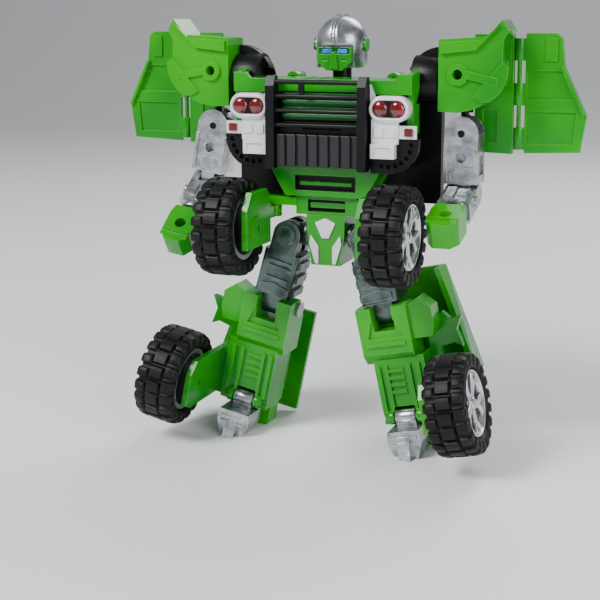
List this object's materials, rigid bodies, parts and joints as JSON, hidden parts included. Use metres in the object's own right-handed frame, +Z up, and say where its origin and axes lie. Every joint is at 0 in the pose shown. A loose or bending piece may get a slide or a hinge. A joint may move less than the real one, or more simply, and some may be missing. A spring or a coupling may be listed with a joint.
{
  "type": "transforming robot toy",
  "caption": "Green toy robot that folds from an off-road car: chest from the car front, door-panel wings, posable arms and legs, and rolling wheels.",
  "frame": {"origin": "on the ground below the middle of the bounding box", "axes": "+Z up, -Y the way the robot faces, +X its left side"},
  "size_m": [0.2052, 0.0702, 0.1787],
  "materials": {
    "green": "glossy moulded green",
    "green_dark": "darker green, moulded ribs",
    "green_face": "glossy green face plate",
    "black": "satin black",
    "charcoal": "dark grey, ribbed",
    "white_paint": "white and silver paint",
    "silver_plastic": "vacuum-plated silver plastic",
    "gunmetal": "gunmetal plated plastic",
    "steel": "zinc-plated steel",
    "red_lens": "translucent red",
    "blue_lens": "translucent blue",
    "dark_glass": "dark painted panes",
    "rubber": "matt black rubber",
    "rim_chrome": "chromed spokes"
  },
  "bodies": {
    "torso": {"chest_frame": "black", "chest_shell": "green", "back_cover": "green", "windscreen_panes": "dark_glass", "grille_insert": "green_dark", "grille_guard": "black", "bumper_beam": "black", "skid_plate": "charcoal", "lamp_lenses": "red_lens", "bumper_ends": "black", "roof_catches": "green", "waist_plate": "green", "pelvis": "green", "pelvis_trim": "white_paint", "cover_screws": "steel", "lamp_pod_left": "white_paint", "lamp_pod_right": "white_paint"},
    "head": {"helmet": "silver_plastic", "face_plate": "green_face", "eye_lenses": "blue_lens", "helmet_pads": "green", "neck_post": "black"},
    "shoulder_left": {"shoulder_shell_left": "green", "shoulder_hub_left": "black", "ball_link_left": "black"},
    "wing_left": {"door_panel_left": "green"},
    "upper_arm_left": {"upper_arm_left": "silver_plastic"},
    "forearm_left": {"forearm_left": "silver_plastic"},
    "fist_left": {"fist_left": "green"},
    "bracket_left": {"wheel_bracket_left": "green"},
    "front_wheel_left": {"front_tyre_left": "rubber", "front_rim_left": "rim_chrome"},
    "hip_left": {"hip_joint_left": "gunmetal"},
    "thigh_left": {"thigh_left": "gunmetal"},
    "shin_left": {"shin_shell_left": "green", "knee_pin_left": "steel", "fender_bracket_left": "green"},
    "toe_left": {"toe_left": "silver_plastic"},
    "calf_left": {"calf_panel_left": "green"},
    "rear_wheel_left": {"rear_tyre_left": "rubber", "rear_rim_left": "rim_chrome"},
    "shoulder_right": {"shoulder_shell_right": "green", "shoulder_hub_right": "black", "ball_link_right": "black"},
    "wing_right": {"door_panel_right": "green"},
    "upper_arm_right": {"upper_arm_right": "silver_plastic"},
    "forearm_right": {"forearm_right": "silver_plastic"},
    "fist_right": {"fist_right": "green"},
    "bracket_right": {"wheel_bracket_right": "green"},
    "front_wheel_right": {"front_tyre_right": "rubber", "front_rim_right": "rim_chrome"},
    "hip_right": {"hip_joint_right": "gunmetal"},
    "thigh_right": {"thigh_right": "gunmetal"},
    "shin_right": {"shin_shell_right": "green", "knee_pin_right": "steel", "fender_bracket_right": "green"},
    "toe_right": {"toe_right": "silver_plastic"},
    "calf_right": {"calf_panel_right": "green"},
    "rear_wheel_right": {"rear_tyre_right": "rubber", "rear_rim_right": "rim_chrome"}
  },
  "joints": [
    {"name": "neck_turn", "type": "hinge", "parent": "torso", "child": "head", "pos_m": [0, 0.02435, 0.15], "axis": [0, 0, 1], "range_deg": [-70, 70]},
    {"name": "shoulder_swing_left", "type": "hinge", "parent": "torso", "child": "shoulder_left", "pos_m": [0.046, 0.02035, 0.152], "axis": [-1, 0, 0], "range_deg": [-20, 80]},
    {"name": "wing_fold_left", "type": "hinge", "parent": "shoulder_left", "child": "wing_left", "pos_m": [0.075, 0.02755, 0.146], "axis": [0, 0, 1], "range_deg": [0, 95]},
    {"name": "arm_raise_left", "type": "hinge", "parent": "shoulder_left", "child": "upper_arm_left", "pos_m": [0.055, 0.01835, 0.131], "axis": [0, -1, 0], "range_deg": [-3, 50]},
    {"name": "elbow_left", "type": "hinge", "parent": "upper_arm_left", "child": "forearm_left", "pos_m": [0.055, 0.01835, 0.106], "axis": [-1, 0, 0], "range_deg": [-72, 8]},
    {"name": "wrist_left", "type": "hinge", "parent": "forearm_left", "child": "fist_left", "pos_m": [0.055, 0.00028, 0.10013], "axis": [0, 0.9511, 0.309], "range_deg": [-90, 90]},
    {"name": "bracket_fold_left", "type": "hinge", "parent": "torso", "child": "bracket_left", "pos_m": [0.024, 0.00735, 0.098], "axis": [0, 0, -1], "range_deg": [0, 18]},
    {"name": "front_wheel_spin_left", "type": "hinge", "parent": "bracket_left", "child": "front_wheel_left", "pos_m": [0.0352, -0.01465, 0.0926], "axis": [1, 0, 0], "continuous": true},
    {"name": "hip_swing_left", "type": "hinge", "parent": "torso", "child": "hip_left", "pos_m": [0.009, 0.01035, 0.087], "axis": [1, 0, 0], "range_deg": [-12, 30]},
    {"name": "hip_spread_left", "type": "hinge", "parent": "hip_left", "child": "thigh_left", "pos_m": [0.017, 0.01035, 0.087], "axis": [0, -1, 0], "range_deg": [-5, 12]},
    {"name": "knee_left", "type": "hinge", "parent": "thigh_left", "child": "shin_left", "pos_m": [0.02561, 0.01035, 0.05597], "axis": [0.9781, 0, 0.2079], "range_deg": [0, 40]},
    {"name": "toe_fold_left", "type": "hinge", "parent": "shin_left", "child": "toe_left", "pos_m": [0.03455, 0.00175, 0.01391], "axis": [-0.9781, 0, -0.2079], "range_deg": [-8, 45]},
    {"name": "calf_slide_left", "type": "slide", "parent": "shin_left", "child": "calf_left", "axis": [-0.2079, 0, 0.9781], "range_m": [-0.02, 0]},
    {"name": "rear_wheel_spin_left", "type": "hinge", "parent": "shin_left", "child": "rear_wheel_left", "pos_m": [0.06222, -0.01465, 0.02705], "axis": [0.9781, 0, 0.2079], "continuous": true},
    {"name": "shoulder_swing_right", "type": "hinge", "parent": "torso", "child": "shoulder_right", "pos_m": [-0.046, 0.02035, 0.152], "axis": [-1, 0, 0], "range_deg": [-20, 80]},
    {"name": "wing_fold_right", "type": "hinge", "parent": "shoulder_right", "child": "wing_right", "pos_m": [-0.075, 0.02755, 0.146], "axis": [0, 0, -1], "range_deg": [0, 95]},
    {"name": "arm_raise_right", "type": "hinge", "parent": "shoulder_right", "child": "upper_arm_right", "pos_m": [-0.055, 0.01835, 0.131], "axis": [0, 1, 0], "range_deg": [-13, 40]},
    {"name": "elbow_right", "type": "hinge", "parent": "upper_arm_right", "child": "forearm_right", "pos_m": [-0.05934, 0.01835, 0.10638], "axis": [-0.9848, 0, 0.1736], "range_deg": [-48, 32]},
    {"name": "wrist_right", "type": "hinge", "parent": "forearm_right", "child": "fist_right", "pos_m": [-0.06155, 0.00423, 0.09386], "axis": [-0.1162, -0.7431, -0.659], "range_deg": [-90, 90]},
    {"name": "bracket_fold_right", "type": "hinge", "parent": "torso", "child": "bracket_right", "pos_m": [-0.024, 0.00735, 0.098], "axis": [0, 0, 1], "range_deg": [0, 18]},
    {"name": "front_wheel_spin_right", "type": "hinge", "parent": "bracket_right", "child": "front_wheel_right", "pos_m": [-0.0352, -0.01465, 0.0926], "axis": [1, 0, 0], "continuous": true},
    {"name": "hip_swing_right", "type": "hinge", "parent": "torso", "child": "hip_right", "pos_m": [-0.009, 0.01035, 0.087], "axis": [1, 0, 0], "range_deg": [-12, 30]},
    {"name": "hip_spread_right", "type": "hinge", "parent": "hip_right", "child": "thigh_right", "pos_m": [-0.017, 0.01035, 0.087], "axis": [0, 1, 0], "range_deg": [-5, 12]},
    {"name": "knee_right", "type": "hinge", "parent": "thigh_right", "child": "shin_right", "pos_m": [-0.02561, 0.01035, 0.05597], "axis": [0.9781, 0, -0.2079], "range_deg": [0, 40]},
    {"name": "toe_fold_right", "type": "hinge", "parent": "shin_right", "child": "toe_right", "pos_m": [-0.03455, 0.00175, 0.01391], "axis": [-0.9781, 0, 0.2079], "range_deg": [-8, 45]},
    {"name": "calf_slide_right", "type": "slide", "parent": "shin_right", "child": "calf_right", "axis": [0.2079, 0, 0.9781], "range_m": [0, 0.02]},
    {"name": "rear_wheel_spin_right", "type": "hinge", "parent": "shin_right", "child": "rear_wheel_right", "pos_m": [-0.06222, -0.01465, 0.02705], "axis": [0.9781, 0, -0.2079], "continuous": true}
  ]
}
